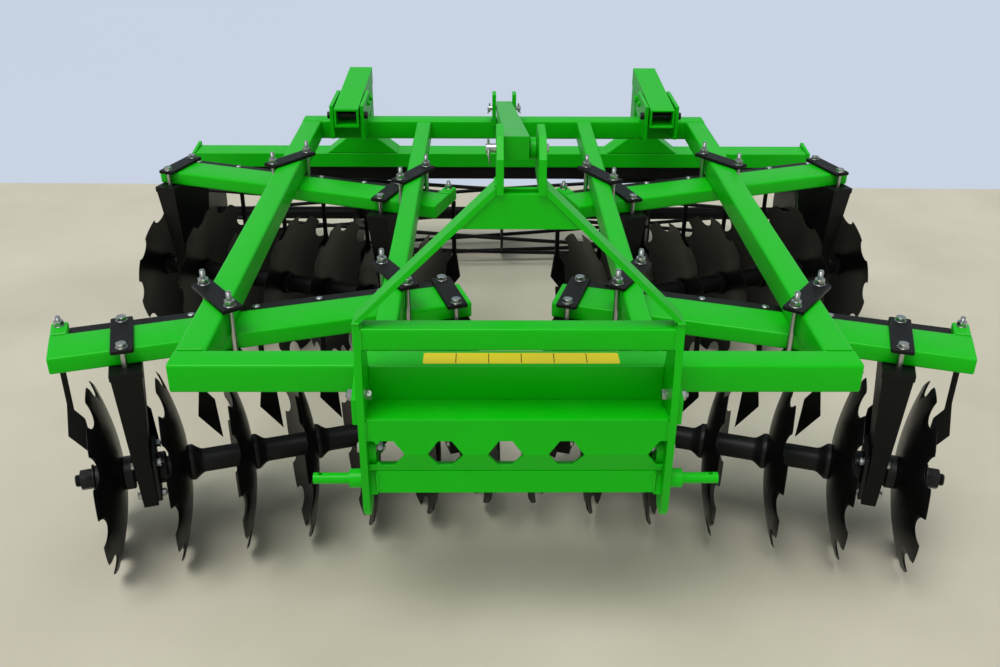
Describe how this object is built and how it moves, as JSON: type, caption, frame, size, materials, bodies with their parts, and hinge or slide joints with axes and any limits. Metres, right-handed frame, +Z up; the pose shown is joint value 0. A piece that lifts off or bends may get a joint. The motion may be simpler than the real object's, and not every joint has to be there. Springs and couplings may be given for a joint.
{
  "type": "mounted disc harrow with cage roller",
  "caption": "Tractor-mounted X-type disc harrow: tube frame, A-frame headstock, angled gangs of notched discs with scrapers, and a rear cage roller on swinging arms.",
  "frame": {"origin": "bottom centre of the whole machine, on the ground it stands on", "axes": "+X to the right seen from the front, +Y to the rear, +Z up; the headstock is at the -Y end"},
  "size_m": [2.8896, 2.9, 1.398],
  "materials": {
    "green_paint": "gloss",
    "black_paint": "satin",
    "disc_steel": "semi-gloss",
    "dark_iron": "semi-gloss",
    "zinc_steel": "zinc plated"
  },
  "bodies": {
    "frame": {"bearings_front_left": "dark_iron", "bearings_front_right": "dark_iron", "bearings_rear_left": "dark_iron", "bearings_rear_right": "dark_iron", "brace_strut": "green_paint", "clamps_front_left": "black_paint", "clamps_front_right": "black_paint", "clamps_rear_left": "black_paint", "clamps_rear_right": "black_paint", "front_beam": "green_paint", "gang_beam_front_left": "green_paint", "gang_beam_front_right": "green_paint", "gang_beam_rear_left": "green_paint", "gang_beam_rear_right": "green_paint", "headstock_apron": "green_paint", "headstock_brackets": "green_paint", "headstock_cheek_left": "green_paint", "headstock_cheek_right": "green_paint", "headstock_cross_tube": "green_paint", "headstock_gusset": "green_paint", "hitch_bar": "green_paint", "hitch_pin_left": "green_paint", "hitch_pin_right": "green_paint", "inner_rail_left": "green_paint", "inner_rail_right": "green_paint", "outer_rail_left": "green_paint", "outer_rail_right": "green_paint", "rear_beam": "green_paint", "roller_lugs": "green_paint", "roller_pivot_pins": "zinc_steel", "scrapers_front_left": "black_paint", "scrapers_front_right": "black_paint", "scrapers_rear_left": "black_paint", "scrapers_rear_right": "black_paint", "standards_front_left": "black_paint", "standards_front_right": "black_paint", "standards_rear_left": "black_paint", "standards_rear_right": "black_paint", "strut_ears": "green_paint", "strut_pins": "zinc_steel"},
    "front_left_gang": {"discs_front_left": "disc_steel", "axle_front_left": "dark_iron"},
    "front_right_gang": {"discs_front_right": "disc_steel", "axle_front_right": "dark_iron"},
    "rear_right_gang": {"discs_rear_right": "disc_steel", "axle_rear_right": "dark_iron"},
    "rear_left_gang": {"discs_rear_left": "disc_steel", "axle_rear_left": "dark_iron"},
    "roller_carrier": {"roller_arm_left": "green_paint", "roller_arm_right": "green_paint", "roller_beam": "green_paint", "roller_frame_tube": "black_paint", "roller_end_plates": "green_paint"},
    "roller": {"roller_cage": "black_paint"}
  },
  "joints": [
    {"name": "front_left_gang_turn", "type": "hinge", "parent": "frame", "child": "front_left_gang", "pos_m": [-0.5645, -0.87042, 0.28], "axis": [0.9553, 0.2957, 0], "continuous": true},
    {"name": "front_right_gang_turn", "type": "hinge", "parent": "frame", "child": "front_right_gang", "pos_m": [0.5645, -0.87042, 0.28], "axis": [-0.9553, 0.2957, 0], "continuous": true},
    {"name": "rear_right_gang_turn", "type": "hinge", "parent": "frame", "child": "rear_right_gang", "pos_m": [0.91088, 0.28366, 0.28], "axis": [0.9432, 0.3322, 0], "continuous": true},
    {"name": "rear_left_gang_turn", "type": "hinge", "parent": "frame", "child": "rear_left_gang", "pos_m": [-0.91088, 0.28366, 0.28], "axis": [-0.9432, 0.3322, 0], "continuous": true},
    {"name": "roller_depth", "type": "hinge", "parent": "frame", "child": "roller_carrier", "pos_m": [0, 0.69, 0.849], "axis": [1, 0, 0], "range_deg": [-3, 12]},
    {"name": "roller_turn", "type": "hinge", "parent": "roller_carrier", "child": "roller", "pos_m": [0, 1.245, 0.205], "axis": [1, 0, 0], "continuous": true}
  ]
}
